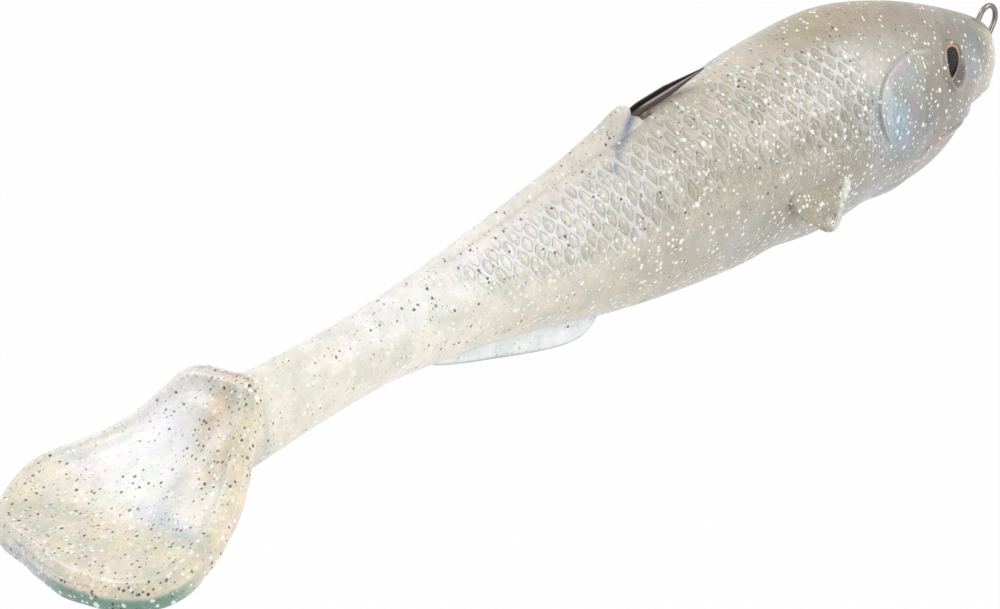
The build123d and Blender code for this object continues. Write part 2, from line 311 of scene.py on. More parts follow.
crowd = {
    "silver": flaked_in.outputs["Silver"],
    "dim": math_node(flaked, "MULTIPLY_ADD", flaked_in.outputs["Dark"], 0.25, 0.75),
    "black": flaked_in.outputs["Dark"],
}
for kind, pitch, radius, share, soft, strength, low, high, shift in FLAKE_SIZES:
    cell_place = vector_node(flaked, "ADD", place, (shift, shift / 2, shift / 3))
    spots = use_group(flaked, flakes, Vector=cell_place, Pitch=pitch * mm, Radius=radius * mm,
                      Share=math_node(flaked, "MULTIPLY", crowd[kind], share), Soft=soft)
    shown = math_node(flaked, "MULTIPLY", spots["Mask"], strength)
    colour = mix_node(flaked, shown, colour, mix_node(flaked, spots["Random"], low, high))
flaked.links.new(colour, flaked_out.inputs["Color"])

# Scales stand in rows along the fish, every second row half a scale on. A pad is the raised middle
# of one, as shares of the distance between two scales.
pad_length = 0.245        # half of it along the fish
pad_height = 0.375        # half of it over the girth
pad_point = 2.0           # 1 is a diamond and 2 a lens
pad_lean = 0.10           # how far its upper end stands back


def choose(tree, picked, new, old):
    """The new value where picked is 1, and the old one where it is 0."""
    return math_node(tree, "MULTIPLY_ADD", picked, math_node(tree, "SUBTRACT", new, old), old)


scales, scales_in, scales_out = new_group(
    "scales", [("Vector", "vector")],
    [(name, "float") for name in ("Pad", "Edge", "Ring", "Dome", "Behind", "Random")])
nearest = None
for shift in (0.0, 0.5):
    moved = vector_node(scales, "ADD", scales_in.outputs["Vector"], (shift, shift, 0))
    middle = vector_node(scales, "FLOOR", vector_node(scales, "ADD", moved, (0.5, 0.5, 0)))
    offset = scales.nodes.new("ShaderNodeSeparateXYZ")
    scales.links.new(vector_node(scales, "SUBTRACT", moved, middle), offset.inputs[0])
    up = offset.outputs["Y"]
    along = math_node(scales, "MULTIPLY_ADD", up, pad_lean, offset.outputs["X"])
    across = math_node(scales, "DIVIDE", math_node(scales, "ABSOLUTE", along), pad_length)
    rise = math_node(scales, "DIVIDE", math_node(scales, "ABSOLUTE", up), pad_height)
    reach = math_node(scales, "ADD", across, math_node(scales, "POWER", rise, pad_point))
    chance = scales.nodes.new("ShaderNodeTexWhiteNoise")
    scales.links.new(vector_node(scales, "ADD", middle, (shift * 71, 0, 0)), chance.inputs["Vector"])
    if nearest is None:
        nearest, random, behind = reach, chance.outputs["Value"], along
    else:
        closer = math_node(scales, "LESS_THAN", reach, nearest)
        random = choose(scales, closer, chance.outputs["Value"], random)
        behind = choose(scales, closer, along, behind)
        nearest = math_node(scales, "MINIMUM", nearest, reach)
scales.links.new(step_node(scales, nearest, 1.02, 0.88), scales_out.inputs["Pad"])
for ring, thickness, name in ((1.0, 0.20, "Edge"), (0.50, 0.16, "Ring")):
    off = math_node(scales, "ABSOLUTE", math_node(scales, "SUBTRACT", nearest, ring))
    scales.links.new(step_node(scales, off, thickness, 0.0), scales_out.inputs[name])
scales.links.new(step_node(scales, behind, -0.10, 0.10), scales_out.inputs["Behind"])
scales.links.new(step_node(scales, nearest, 0.9, 0.1), scales_out.inputs["Dome"])
scales.links.new(random, scales_out.inputs["Random"])


def add_scales(tree, place, cloud, colour, height):
    """Lays scales over the vinyl: pads of uneven tone in a pale bluish net that comes and goes with
    the clouds, each with a painted shade line in front and a painted highlight line behind, and a ring
    inside it that is painted dark in front and bright behind."""
    where = tree.nodes.new("ShaderNodeUVMap")
    where.uv_map = "scale_rows"
    uneven = centred(tree, noise(tree, place, Scale=330)["Color"], 0.28)
    rows = use_group(tree, scales, Vector=vector_node(tree, "ADD", where.outputs[0], uneven))
    patch = painted(tree, "scaled")["Fac"]
    pad = math_node(tree, "MULTIPLY", rows["Pad"], patch)
    line = math_node(tree, "MULTIPLY", rows["Edge"], patch)
    fine_line = math_node(tree, "MULTIPLY", rows["Ring"], patch)
    around_pad = math_node(tree, "SUBTRACT", 1.0, rows["Pad"])
    in_front = math_node(tree, "SUBTRACT", 1.0, rows["Behind"])

    net = math_node(tree, "MULTIPLY", around_pad, painted(tree, "net")["Fac"])
    patchy = math_node(tree, "MULTIPLY_ADD", step_node(tree, cloud, 0.38, 0.60), 0.65, 0.35)
    net = math_node(tree, "MULTIPLY", net, patchy)
    colour = mix_node(tree, math_node(tree, "MULTIPLY", net, 0.66), colour, (0.79, 0.82, 0.88))
    tone = mix_node(tree, rows["Random"], (0.84, 0.82, 0.75), (1.04, 1.01, 0.95))
    colour = mix_node(tree, pad, colour, vector_node(tree, "MULTIPLY", colour, tone))
    # painted shade on each pad's front edge, a painted dark and bright ring inside it, and a painted
    # highlight on its rear edge
    painted_shade_line = math_node(tree, "MULTIPLY", line, math_node(tree, "MULTIPLY_ADD", in_front, 0.42, 0.10))
    colour = mix_node(tree, painted_shade_line, colour, (0.33, 0.30, 0.24))
    ring_painted_light = mix_node(tree, rows["Behind"], (0.36, 0.34, 0.28), (0.95, 0.95, 0.92))
    colour = mix_node(tree, math_node(tree, "MULTIPLY", fine_line, 0.38), colour, ring_painted_light)
    painted_highlight_line = math_node(tree, "MULTIPLY", math_node(tree, "MULTIPLY", line, rows["Behind"]),
                            math_node(tree, "MULTIPLY", rows["Random"], 0.85))
    colour = mix_node(tree, painted_highlight_line, colour, (0.96, 0.97, 0.97))

    dome = math_node(tree, "MULTIPLY", patch, 0.12 * mm)
    sunk = math_node(tree, "MULTIPLY_ADD", math_node(tree, "ADD", pad, line), -0.12 * mm, height)
    return colour, math_node(tree, "MULTIPLY_ADD", rows["Dome"], dome, sunk)


def vinyl(name, scaled=False):
    """The flaked pearl vinyl, tinted by the piece's tint attribute, with or without scales."""
    material = bpy.data.materials.new(name)
    material.use_nodes = True
    tree = material.node_tree
    plastic = tree.nodes["Principled BSDF"]
    plastic.inputs["Roughness"].default_value = 0.36
    plastic.inputs["Subsurface Weight"].default_value = 0.35
    plastic.inputs["Subsurface Radius"].default_value = (1.0, 0.85, 0.65)
    plastic.inputs["Subsurface Scale"].default_value = 1.6 * mm
    plastic.inputs["Coat Weight"].default_value = 0.30
    plastic.inputs["Coat Roughness"].default_value = 0.16
    place = tree.nodes.new("ShaderNodeTexCoord").outputs["Object"]
    tint = painted(tree, "tint")
    powder = use_group(tree, pearl, Vector=place, Color=tint["Color"], Pearly=painted(tree, "pearly")["Fac"])
    rough = painted(tree, "rough")["Fac"]
    folded = use_group(tree, crinkles, Vector=place, Color=powder["Color"], Rough=rough)
    colour, height = folded["Color"], folded["Height"]
    if scaled:
        colour, height = add_scales(tree, place, powder["Cloud"], colour, height)
    glittering = use_group(tree, flaked, Vector=place, Color=colour, Silver=painted(tree, "glitter")["Fac"],
                           Dark=tint["Alpha"])
    tree.links.new(glittering["Color"], plastic.inputs["Base Color"])
    bump = tree.nodes.new("ShaderNodeBump")
    bump.inputs["Strength"].default_value = 1.0
    bump.inputs["Distance"].default_value = 1.0
    tree.links.new(height, bump.inputs["Height"])
    tree.links.new(bump.outputs["Normal"], plastic.inputs["Normal"])
    return material


# The skin: the moulded fish from the nose to the end of the neck, soft vinyl in one pour. It is
# drawn out ring by ring from the nose, subdivided, and then shaped where the mould has gill covers,
# eye sockets, a mouth, a slot for the hook, a dorsal ridge and scales.

# Distance along the fish, the back's height, the belly's height and half the width
STATIONS = [
    (1.5, -3.6, -10.6, 0.6),
    (0.8, -2.2, -12.3, 1.7),
    (-0.9, -0.5, -13.7, 3.0),
    (-4.1, 1.5, -14.9, 4.8),
    (-9.7, 4.0, -17.3, 6.9),
    (-18.0, 7.2, -21.6, 9.4),
    (-29.9, 10.9, -23.4, 11.8),
    (-45.6, 13.7, -23.9, 13.6),
    (-61.3, 12.2, -23.8, 13.9),
    (-77.0, 10.2, -23.6, 12.7),
    (-92.7, 7.2, -22.8, 10.8),
    (-108.4, 3.7, -20.5, 8.7),
    (-124.1, -0.4, -18.6, 6.9),
    (-139.8, -4.0, -17.9, 5.5),
    (-155.6, -6.4, -19.0, 4.7),
    (-173.0, -7.6, -22.0, 4.4),
    (-180.0, -8.4, -22.0, 3.9),
]
section_power = 1.7       # 2 is an ellipse and 1 a diamond
ring_swell = 1.0115       # subdividing draws a ring in by this much
SNOUT_RINGS = [1.5, 1.2, 0.3, -1.2, -3.0, -5.2, -8.0]
first_ring, ring_gap, ring_count = -11.4, 3.98, 42


def between(rows, x):
    """The rows' values at x, along a smooth curve through them."""
    rows = sorted(rows)
    index = min(max(sum(row[0] <= x for row in rows) - 1, 0), len(rows) - 2)
    low, high = rows[index], rows[index + 1]
    before = rows[max(index - 1, 0)]
    after = rows[min(index + 2, len(rows) - 1)]
    gap = high[0] - low[0]
    t = (x - low[0]) / gap
    values = []
    for a, b, c, d in zip(before[1:], low[1:], high[1:], after[1:]):
        leave = (c - a) / (high[0] - before[0]) * gap
        arrive = (d - b) / (after[0] - low[0]) * gap
        values.append(
            b * (2 * t**3 - 3 * t**2 + 1) + leave * (t**3 - 2 * t**2 + t)
            + c * (3 * t**2 - 2 * t**3) + arrive * (t**3 - t**2)
        )
    return values


skin_cage = bmesh.new()
turn = skin_cage.verts.layers.float.new("turn")
ring = bmesh.ops.create_circle(skin_cage, cap_ends=True, radius=1, segments=24)["verts"]
for vert in ring:
    vert[turn] = math.atan2(vert.co.y, vert.co.x)


def rounded(share):
    """A circle's sine or cosine, drawn out to the fish's section."""
    return math.copysign(abs(share) ** (2 / section_power), share)


def place_ring(verts, x):
    """Puts a ring of the cage on the fish's section at x."""
    back, belly, half_width = between(STATIONS, x)
    for vert in verts:
        y = half_width * ring_swell * rounded(math.cos(vert[turn]))
        z = (back - belly) / 2 * ring_swell * rounded(math.sin(vert[turn]))
        vert.co = (x * mm, y * mm, (z + (back + belly) / 2) * mm)


def verts_of(items):
    """The vertices among what a bmesh operator made."""
    return [item for item in items if isinstance(item, bmesh.types.BMVert)]


ring_places = SNOUT_RINGS + [first_ring - ring_gap * number for number in range(ring_count)]
place_ring(ring, ring_places[0])
rim_edges = list(skin_cage.edges)
for x in ring_places[1:]:
    grown = bmesh.ops.extrude_edge_only(skin_cage, edges=rim_edges)["geom"]
    rim_edges = [item for item in grown if isinstance(item, bmesh.types.BMEdge) and item.is_boundary]
    place_ring(verts_of(grown), x)
bmesh.ops.contextual_create(skin_cage, geom=rim_edges)
bmesh.ops.recalc_face_normals(skin_cage, faces=skin_cage.faces)


def subdivided(name, cage, levels):
    """A new object from a cage, with its subdivision applied."""
    piece = bpy.data.objects.new(name, bpy.data.meshes.new(name))
    bpy.context.collection.objects.link(piece)
    cage.to_mesh(piece.data)
    cage.free()
    surface = piece.modifiers.new("smooth", "SUBSURF")
    surface.levels = surface.render_levels = levels
    bpy.context.view_layer.update()
    mesh = bpy.data.meshes.new_from_object(piece.evaluated_get(bpy.context.evaluated_depsgraph_get()))
    cage_mesh = piece.data
    piece.modifiers.clear()
    piece.data = mesh
    bpy.data.meshes.remove(cage_mesh)
    mesh.name = name
    for polygon in mesh.polygons:
        polygon.use_smooth = True
    return piece


skin = subdivided("skin", skin_cage, 3)

# Where the mould has crisp edges: the eyes, the gill covers' rear edge, the mouth's slit, the fold
# of the cheek and the slot that the hook comes out of. The eyes look further forward than the
# frame's own and sit a little further back and lower. Lines are given by x and z.
eye_radius = 3.2
frame_yaw, frame_pitch, foil_depth = 13, 12, 1.25
eye_yaw, eye_pitch = 7, 5
eye_shift = Vector((0.6, 0, 0.3))
GILL_ARC = [(-28.0, 3.6), (-34.5, 5.0), (-40.6, 4.5), (-44.6, 2.7), (-46.6, -0.4), (-45.6, -4.4),
            (-41.5, -8.0), (-35.0, -10.8), (-28.5, -12.0)]
MOUTH_LINE = [(-1.0, -12.3), (-8.0, -12.6), (-15.0, -12.0), (-22.2, -11.4), (-27.5, -11.8), (-31.5, -12.7)]
CHEEK_LINE = [(-30.0, 2.6), (-32.0, -0.6), (-33.0, -4.4), (-32.6, -8.0)]
slot_middle = (-90.4, 8.4)
gill_root = -33           # the cover's edge is crisp behind this
eye_spot, eye_out, eye_up = {}, {}, {}


def eye_way(side, yaw, pitch):
    """The way an eye looks, from its yaw and pitch in degrees."""
    yaw, pitch = math.radians(yaw), math.radians(pitch)
    level_part = math.cos(pitch)
    return Vector((math.sin(yaw) * level_part, side * math.cos(yaw) * level_part, math.sin(pitch)))


for side, place in ((-1, "right"), (1, "left")):
    low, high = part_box(f"eye_foil_{place}")
    flank_spot = (Vector(low) + Vector(high)) / 2 / mm + eye_way(side, frame_yaw, frame_pitch) * foil_depth
    looks = eye_way(side, eye_yaw, eye_pitch)
    eye_spot[side] = np.array(flank_spot - eye_shift)
    eye_out[side] = np.array(looks)
    eye_up[side] = np.array(Vector((0, 0, 1)) - looks * looks.z)
    eye_up[side] /= np.linalg.norm(eye_up[side])


def curve_through(points, steps):
    """Points on a smooth curve through the given ones."""
    rows = [(index, *point) for index, point in enumerate(points)]
    count = (len(points) - 1) * steps + 1
    return np.array([between(rows, number / steps) for number in range(count)])


def gap_to(line, *place):
    """Each place's distance to a line in two or three axes, and how far along the line it is, 0 to 1."""
    place = np.stack(place, axis=1)
    best = np.full(len(place), 1e9)
    along = np.zeros(len(place))
    for index, (a, b) in enumerate(zip(line, line[1:])):
        run = b - a
        share = np.clip((place - a) @ run / (run @ run), 0, 1)
        reach = np.linalg.norm(place - a - np.outer(share, run), axis=1)
        closer = reach < best
        best[closer] = reach[closer]
        along[closer] = (index + share[closer]) / (len(line) - 1)
    return best, along


def inside(line, x, z):
    """Whether each place in the side view is inside a closed line."""
    odd = np.zeros(len(x), bool)
    for a, b in zip(line, np.roll(line, -1, axis=0)):
        if a[1] != b[1]:
            crosses = (a[1] > z) != (b[1] > z)
            odd ^= crosses & (x < (b[0] - a[0]) * (z - a[1]) / (b[1] - a[1]) + a[0])
    return odd


def step(low, high, values):
    """0 under low and 1 over high, with a smooth step between them."""
    share = np.clip((values - low) / (high - low), 0, 1)
    return share * share * (3 - 2 * share)


def bell(values, middle, reach):
    """1 at the middle, falling off on both sides over about the reach."""
    return np.exp(-((values - middle) / reach) ** 2)


gill_line = curve_through(GILL_ARC, 6)
mouth_line = curve_through(MOUTH_LINE, 5)
cheek_line = curve_through(CHEEK_LINE, 6)


def coordinates(mesh):
    """The mesh's vertices in millimetres, as rows."""
    flat = np.empty(len(mesh.vertices) * 3)
    mesh.vertices.foreach_get("co", flat)
    return flat.reshape(-1, 3) / mm


def write(mesh, **values):
    """Stores numbers or colours at each vertex, under their names."""
    for name, rows in values.items():
        attribute = mesh.attributes.new(name, "FLOAT_COLOR" if rows.ndim == 2 else "FLOAT", "POINT")
        attribute.data.foreach_set("color" if rows.ndim == 2 else "value", rows.ravel())


def refine(piece, wanted):
    """Splits the edges between the wanted vertices once."""
    shape = bmesh.new()
    shape.from_mesh(piece.data)
    shape.verts.ensure_lookup_table()
    edges = [edge for edge in shape.edges if wanted[edge.verts[0].index] and wanted[edge.verts[1].index]]
    bmesh.ops.subdivide_edges(shape, edges=edges, cuts=1, use_grid_fill=True)
    shape.to_mesh(piece.data)
    shape.free()


def crisp_places(at, margin):
    """The vertices near the eyes, the mouth, the gill covers' edge and the slot."""
    x, y, z = at.T
    near = gap_to(mouth_line, x, z)[0] < margin
    near |= (gap_to(gill_line, x, z)[0] < margin * 0.8) & (x < gill_root)
    near |= (np.abs(x - slot_middle[0]) < 4.0 + margin) & (np.abs(y) < 2.2 + margin) & (z > 3)
    for side in (-1, 1):
        away = at - eye_spot[side]
        off = away - np.outer(away @ eye_out[side], eye_out[side])
        to_rim = np.abs(np.linalg.norm(off, axis=1) - eye_radius)
        near |= (np.sign(y) == side) & (to_rim < margin * 1.2)
    return near


refine(skin, crisp_places(coordinates(skin.data), 1.3))
for line, front, margin in ((gill_line, gill_root, 0.8), (mouth_line, 0, 0.8), (gill_line, gill_root, 0.5)):
    x, _, z = coordinates(skin.data).T
    refine(skin, (gap_to(line, x, z)[0] < margin) & (x < front))

# The skin's shape at every place along it, for everything that is set out on its surface
spots = np.linspace(-182, 1.5, 460)
backs, bellies, _ = np.array([between(STATIONS, spot) for spot in spots]).T


def heights(x):
    """The back's and the belly's height at each x."""
    return np.interp(x, spots, backs), np.interp(x, spots, bellies)


def level(x, z):
    """How high each place lies on the flank, from -1 at the belly to 1 at the back."""
    back, belly = heights(x)
    return (2 * z - back - belly) / (back - belly)


girth_start = -4          # the height of the row of scales that all the others are counted from
girth_gap = 4.0           # how far apart along the fish its girth is measured


def girth(x, z):
    """How far up the flank each place is, over the surface."""
    t = np.clip(level(x, z), -1, 1)
    rises = np.sin(np.linspace(-math.pi / 2, math.pi / 2, 61))
    places = np.arange(-184, 8, girth_gap)
    tables = []
    for place in places:
        top, bottom, half_width = between(STATIONS, min(max(place, -180), 1.5))
        zs = (top + bottom) / 2 + (top - bottom) / 2 * rises
        ys = half_width * (1 - np.abs(rises) ** section_power) ** (1 / section_power)
        arc = np.concatenate([[0], np.cumsum(np.hypot(np.diff(ys), np.diff(zs)))])
        tables.append(arc - np.interp(girth_start, zs, arc))
    share = (x - places[0]) / girth_gap
    index = np.clip(share.astype(int), 0, len(places) - 2)
    low, high = np.empty(len(x)), np.empty(len(x))
    for number in np.unique(index):
        chosen = index == number
        low[chosen] = np.interp(t[chosen], rises, tables[number])
        high[chosen] = np.interp(t[chosen], rises, tables[number + 1])
    return low + (high - low) * (share - index)


# The patch of scales: x and the height of its lower edge, x and how far under the back it ends,
# and x with a scale's length along the fish and its height over the girth
SCALES_LOW = [(-136, -3.5), (-127, -7.0), (-115, -8.2), (-104, -7.6), (-96, -6.2), (-88, -4.6), (-80, -3.2),
              (-68, -2.4), (-53, -2.6), (-46, -2.0)]
SCALES_TOP = [(-140, 1.0), (-94, 1.0), (-87, 0.1), (-70, 0.2), (-60, 1.2), (-52, 2.6), (-46, 5.0)]
SCALE_SIZES = [(-140, 3.0, 3.2), (-118, 3.05, 3.5), (-92, 3.1, 4.2), (-75, 3.4, 4.1), (-60, 3.4, 3.7),
               (-40, 3.1, 3.2)]
size_at, lengths, rises = np.array(SCALE_SIZES).T
scale_marks = np.linspace(-184, 4, 189)
scale_counts = np.concatenate([[0], np.cumsum(1 / np.interp(scale_marks[1:] - 0.5, size_at, lengths))])


def scale_rows(x, z):
    """Each place counted in scales along the fish and over its girth."""
    return np.stack([np.interp(x, scale_marks, scale_counts), girth(x, z) / np.interp(x, size_at, rises)])


def read_off(rows, places):
    """The value at each place, from rows of a place and a value."""
    return np.interp(places, *np.array(rows).T)


def scaled_patch(x, z):
    """1 where the flank carries scales and 0 where it is smooth."""
    lower = read_off(SCALES_LOW, x)
    upper = heights(x)[0] - read_off(SCALES_TOP, x)
    patch = step(lower - 2.0, lower + 2.4, z) * step(upper + 0.4, upper - 0.9, z)
    return patch * step(-137, -130, x) * step(-43, -52, x)


def pad_edge(x, z):
    """How far each place is from the middle of its scale: 1 is the pad's edge."""
    rows = scale_rows(x, z)
    nearest = np.full(len(x), 9.0)
    for shift in (0.0, 0.5):
        offset = rows + shift - np.floor(rows + shift + 0.5)
        across = np.abs(offset[0] + offset[1] * pad_lean) / pad_length
        nearest = np.minimum(nearest, across + (np.abs(offset[1]) / pad_height) ** pad_point)
    return nearest


# Where the mould is flatter than the plain body: how deep, where along the fish and over what
# length, and between which levels it sets in. They are the tuck under the snout, the throat, the
# belly behind it, the back before the hook and the belly of the tail stock.
FLATS = [
    (1.2, -8.5, 5, 0.3, -0.3),
    (0.9, -38, 7, -0.3, -0.75),
    (0.6, -62, 6, -0.3, -0.75),
    (1.0, -74, 7, 0.5, 0.9),
    (0.25, -145, 8, -0.2, -0.7),
]


def relief(x, z):
    """How far the mould stands out from the plain body at each place."""
    # gill covers stand over the body behind them, with a fine line round them
    reach, along = gap_to(gill_line, x, z)
    signed = np.where(inside(gill_line, x, z), reach, -reach)
    raised = step(0.02, 0.16, along) * step(0.74, 0.58, along)
    lift = 0.42 * raised * step(-0.10, 0.25, signed) * step(9, 3, signed)
    lift -= 0.15 * raised * bell(signed, -0.20, 0.18)
    lift -= 0.14 * bell(gap_to(cheek_line, x, z)[0], 0, 0.35)

    # the mouth's slit, and the lower jaw's lip under it
    reach, along = gap_to(mouth_line, x, z)
    closing = 1 - step(0.75, 1.0, along)
    lift -= 1.1 * bell(reach, 0, 0.36) * closing
    lift += 0.22 * bell(reach, 1.0, 0.5) * closing
    lift -= 0.40 * step(-31, -26, x) * step(0, -1.5, z - read_off(mouth_line[::-1], x))

    for depth, along, reach, low, high in FLATS:
        lift -= depth * bell(x, along, reach) * step(low, high, level(x, z))
    return lift - scaled_patch(x, z) * 0.12 * step(1.15, 0.75, pad_edge(x, z))


socket_floor, lid_reach = -1.2, 0.70


def sink_sockets(at):
    """Sinks the eye sockets, each with a lid round it that is higher behind the eye."""
    for side in (-1, 1):
        away = at - eye_spot[side]
        depth = away @ eye_out[side]
        flat = away - np.outer(depth, eye_out[side])
        ring = np.linalg.norm(flat, axis=1)
        near = (np.sign(at[:, 1]) == side) & (ring < 9)
        hollow = 1 - step(eye_radius + 0.02, eye_radius + 0.30, ring)
        rim = step(eye_radius - 0.05, eye_radius + 0.2, ring) * (ring < 4.2)
        over = np.clip(-0.38 - depth, 0, None) * rim
        to_rear = step(0.4, -0.9, flat[:, 0] / np.maximum(ring, 0.1))
        lid = (0.22 + 0.55 * to_rear) * bell(ring, eye_radius + lid_reach, 0.55)
        moved = hollow * (socket_floor - depth) + np.maximum(lid, over)
        at += np.outer(moved * near, eye_out[side])


# The dorsal ridge's edge and the keel before the anal fin; the end of the neck, which runs into the
# paddle's slab and leaves a web under it; and the bed of the hook's point in front of its slot
DORSAL_EDGE = [(-134.5, -2.9), (-125.0, 0.2), (-116.0, 2.6), (-107.0, 5.2), (-98.5, 8.3), (-95.6, 9.8),
               (-93.6, 10.3), (-92.2, 10.0), (-91.0, 9.0), (-90.0, 7.3)]
keel_height = 0.5
web_rise = 4.0            # how far the web's lower edge climbs to the paddle
neck_end = -174.3         # where the cage's closed end lies
end_narrowing = 0.25
# the height at which the neck's end meets the paddle's middle, and how far along that is
PADDLE_FOOT = [(-20.0, -188.5), (-18.0, -186.0), (-16.0, -183.2), (-14.0, -180.7), (-12.0, -178.6),
               (-10.0, -176.8), (-8.0, -175.2)]
slot_depth = 4.2
hook_rise = math.tan(math.radians(9))
hook_start = (-88.98, 9.09)


def ridge_half(x):
    """Half the dorsal ridge's width."""
    return np.interp(x, (-134, -97), (0.8, 1.45))


def shape_skin(mesh):
    """Moves the skin's vertices to the mould's relief."""
    at = coordinates(mesh)
    normals = np.empty(len(mesh.vertices) * 3)
    mesh.vertices.foreach_get("normal", normals)
    x, y, z = at.T        # these follow at as it changes
    back, belly = heights(x)
    at += normals.reshape(-1, 3) * relief(x, z)[:, None]
    sink_sockets(at)

    rise = np.clip(read_off(DORSAL_EDGE, x) - back, 0, None) * (x < -89.5) * (x > -134.6)
    half = ridge_half(x)
    at[:, 2] += rise * step(half * 1.25, half * 0.45, np.abs(y)) * (z > back - 4)
    keel = step(-86, -91, x) * step(-104, -98, x) * step(1.5, 0.3, np.abs(y)) * (z < belly + 3)
    at[:, 2] -= keel_height * keel

    rear = step(-171, -174, x)
    at[:, 2] += web_rise * rear * (np.clip(-8 - z, 0, 14) / 14) ** 2
    at[:, 0] += rear * (read_off(PADDLE_FOOT, at[:, 2]) - neck_end)
    at[:, 1] *= 1 - end_narrowing * rear

    slot = step(1.15, 0.95, np.abs(y)) * step(2.3, 1.7, np.abs(x - slot_middle[0])) * (z > 3)
    at[:, 2] -= slot * slot_depth
    hook_z = hook_start[1] + (x - hook_start[0]) * hook_rise
    wire = np.interp(x, (-83.5, -75.1), (1.0, 0.25))
    bed = hook_z - np.sqrt(np.clip(wire**2 - y**2, 0, None))
    lies = (np.abs(y) < wire) & (x > -90) & (x < -75) & (z > 5)
    at[:, 2] = np.where(lies, np.minimum(at[:, 2], bed), at[:, 2])
    mesh.vertices.foreach_set("co", (at * mm).ravel())
    mesh.update()


rest_places = coordinates(skin.data)
shape_skin(skin.data)

# The skin's tints, from the thick grey-beige head to the pale thin tail, the head's darkness being
# partly painted shade: x, then the colours of the back, the shoulder, the flank and the belly
TINTS = [
    (1.5, (0.34, 0.29, 0.23), (0.52, 0.45, 0.36), (0.58, 0.52, 0.43), (0.56, 0.50, 0.42)),
    (-4, (0.30, 0.25, 0.20), (0.46, 0.38, 0.28), (0.53, 0.48, 0.38), (0.50, 0.44, 0.36)),
    (-9, (0.28, 0.23, 0.19), (0.19, 0.18, 0.15), (0.32, 0.28, 0.23), (0.38, 0.33, 0.27)),
    (-20, (0.35, 0.29, 0.22), (0.24, 0.21, 0.17), (0.26, 0.24, 0.21), (0.30, 0.26, 0.23)),
    (-30, (0.33, 0.27, 0.20), (0.36, 0.32, 0.25), (0.26, 0.24, 0.20), (0.29, 0.25, 0.22)),
    (-38, (0.38, 0.31, 0.22), (0.45, 0.42, 0.36), (0.27, 0.27, 0.26), (0.25, 0.25, 0.24)),
    (-46, (0.41, 0.34, 0.24), (0.46, 0.43, 0.38), (0.31, 0.32, 0.29), (0.33, 0.31, 0.27)),
    (-56, (0.46, 0.40, 0.30), (0.48, 0.46, 0.39), (0.32, 0.30, 0.23), (0.34, 0.31, 0.23)),
    (-68, (0.66, 0.60, 0.51), (0.56, 0.53, 0.45), (0.43, 0.39, 0.31), (0.34, 0.32, 0.26)),
    (-82, (0.58, 0.52, 0.42), (0.51, 0.47, 0.38), (0.52, 0.48, 0.38), (0.46, 0.43, 0.34)),
    (-95, (0.64, 0.61, 0.53), (0.59, 0.57, 0.50), (0.54, 0.50, 0.41), (0.53, 0.49, 0.39)),
    (-108, (0.78, 0.73, 0.66), (0.78, 0.75, 0.70), (0.69, 0.65, 0.55), (0.62, 0.57, 0.46)),
    (-125, (0.90, 0.86, 0.80), (0.90, 0.88, 0.84), (0.77, 0.74, 0.65), (0.72, 0.67, 0.56)),
    (-145, (0.90, 0.88, 0.85), (0.88, 0.88, 0.83), (0.82, 0.80, 0.71), (0.88, 0.83, 0.74)),
    (-165, (0.84, 0.80, 0.72), (0.86, 0.83, 0.73), (0.85, 0.80, 0.69), (0.84, 0.77, 0.66)),
    (-180, (0.82, 0.77, 0.66), (0.85, 0.79, 0.69), (0.80, 0.74, 0.62), (0.80, 0.73, 0.60)),
]
# where each band gives way to the one above it
BAND_EDGES = [(2, -0.55, 0.0), (1, 0.20, 0.62), (0, 0.70, 0.94)]
# smaller spots of tint: x and z, how far they reach, the colour and how strong they are
STROKES = [
    # the first two, on the gill cover's rear part, are a painted bluish sheen
    ((-43.0, -2.5), 3.6, (0.36, 0.52, 0.66), 0.65),
    ((-40.5, -6.5), 3.0, (0.22, 0.34, 0.44), 0.70),
    ((-44.5, 2.5), 2.8, (0.66, 0.66, 0.62), 0.60),
    ((-36.0, 2.0), 3.0, (0.42, 0.48, 0.54), 0.40),
    ((-33.0, -9.5), 3.0, (0.34, 0.40, 0.46), 0.40),
    ((-26.0, -13.6), 2.6, (0.62, 0.40, 0.38), 0.35),
    ((-11.0, 1.0), 2.2, (0.20, 0.22, 0.28), 0.60),
    ((-14.0, -2.2), 2.4, (0.34, 0.42, 0.52), 0.55),
    ((-26.5, 2.8), 2.2, (0.30, 0.29, 0.26), 0.50),
    ((-62.0, -4.0), 4.0, (0.52, 0.49, 0.40), 0.40),
    ((-79.0, -12.0), 4.5, (0.50, 0.53, 0.57), 0.40),
    ((-87.0, -11.0), 3.0, (0.52, 0.53, 0.53), 0.40),
    ((-93.3, -20.6), 1.1, (0.22, 0.28, 0.20), 0.90),
    ((-170.6, -20.6), 2.4, (0.45, 0.50, 0.45), 0.75),
]
# The hook's buried bend shows through as a dark streak, which sinks from sight lower down, and
# painted shade runs down in a dark line from the end of the slot, where the slit sinks in. They are
# given by x, the distance from the mid-plane and z.
HOOK_STREAK = np.array([(-91.8, 1.2, 9.6), (-93.2, 1.4, 8.2), (-94.4, 1.6, 6.7), (-97.1, 2.5, 5.4),
                        (-99.0, 3.8, 4.0), (-100.4, 4.6, 3.0)])
SLOT_SHADE_LINE = np.array([(-88.8, 1.0, 8.8), (-89.6, 1.6, 7.9), (-90.4, 2.4, 7.3)])


def lay_over(tints, shade, share):
    """Turns each vertex's tint towards a shade by its share, from 0 to 1."""
    tints += (np.array(shade) - tints) * share[:, None]


